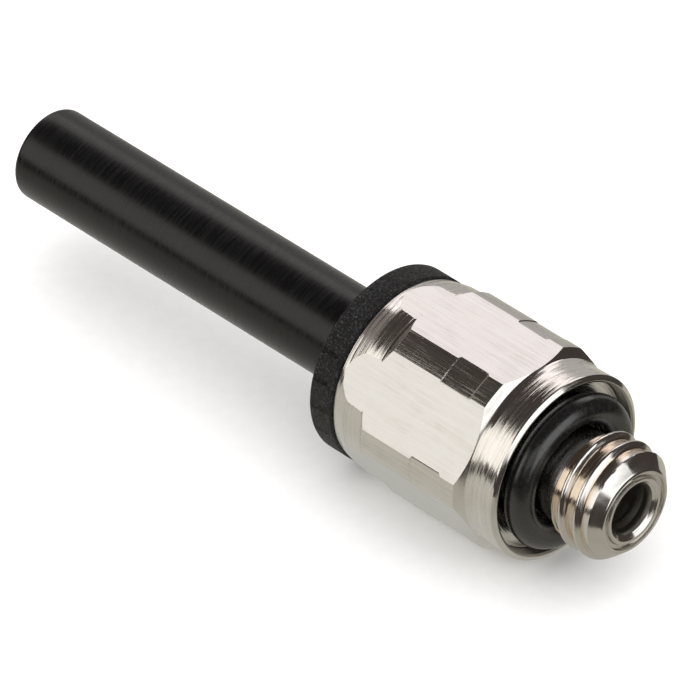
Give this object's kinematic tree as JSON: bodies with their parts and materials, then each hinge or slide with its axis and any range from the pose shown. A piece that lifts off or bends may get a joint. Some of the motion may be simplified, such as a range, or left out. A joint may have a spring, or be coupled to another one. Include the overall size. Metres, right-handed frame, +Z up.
{
  "type": "push to connect fitting",
  "caption": "Miniature push-to-connect fitting: nickel-plated hexagon body with a male thread and captive seal, holding a black plug-in stem behind a collar and release button.",
  "frame": {"origin": "middle of the part's length and width, on the surface it lies on with one hexagon flat down", "axes": "+X along the fitting's axis towards the thread's tip, +Z up, square to the top hexagon flat"},
  "size_m": [0.0326, 0.0086, 0.0081],
  "materials": {
    "plated_brass": "bright nickel plate over turned and milled brass, with fine tool marks",
    "seal_rubber": "smooth nitrile rubber, lightly greased",
    "collar_nylon": "spark-eroded matte black nylon",
    "button_nylon": "fine satin black nylon",
    "spring_steel": "pressed stainless spring steel",
    "seat_acetal": "natural white acetal",
    "stem_nylon": "satin black nylon with fine rings round it"
  },
  "bodies": {
    "fitting": {"body": "plated_brass", "thread_seal": "seal_rubber", "retaining_collar": "collar_nylon", "grip_seat": "seat_acetal", "backup_ring": "seat_acetal", "tube_seal": "seal_rubber"},
    "button": {"release_button": "button_nylon"},
    "grip": {"grip_ring": "spring_steel"},
    "tube": {"stem": "stem_nylon"}
  },
  "joints": [
    {"name": "button_press", "type": "slide", "parent": "fitting", "child": "button", "axis": [1, 0, 0], "range_m": [0, 0.0005], "stiffness_N_per_m": 400},
    {"name": "stem_swivel", "type": "hinge", "parent": "fitting", "child": "grip", "pos_m": [0, 0, 0.00405], "axis": [1, 0, 0], "continuous": true},
    {"name": "stem_pull_out", "type": "slide", "parent": "grip", "child": "tube", "axis": [-1, 0, 0], "range_m": [0, 0.01]}
  ]
}
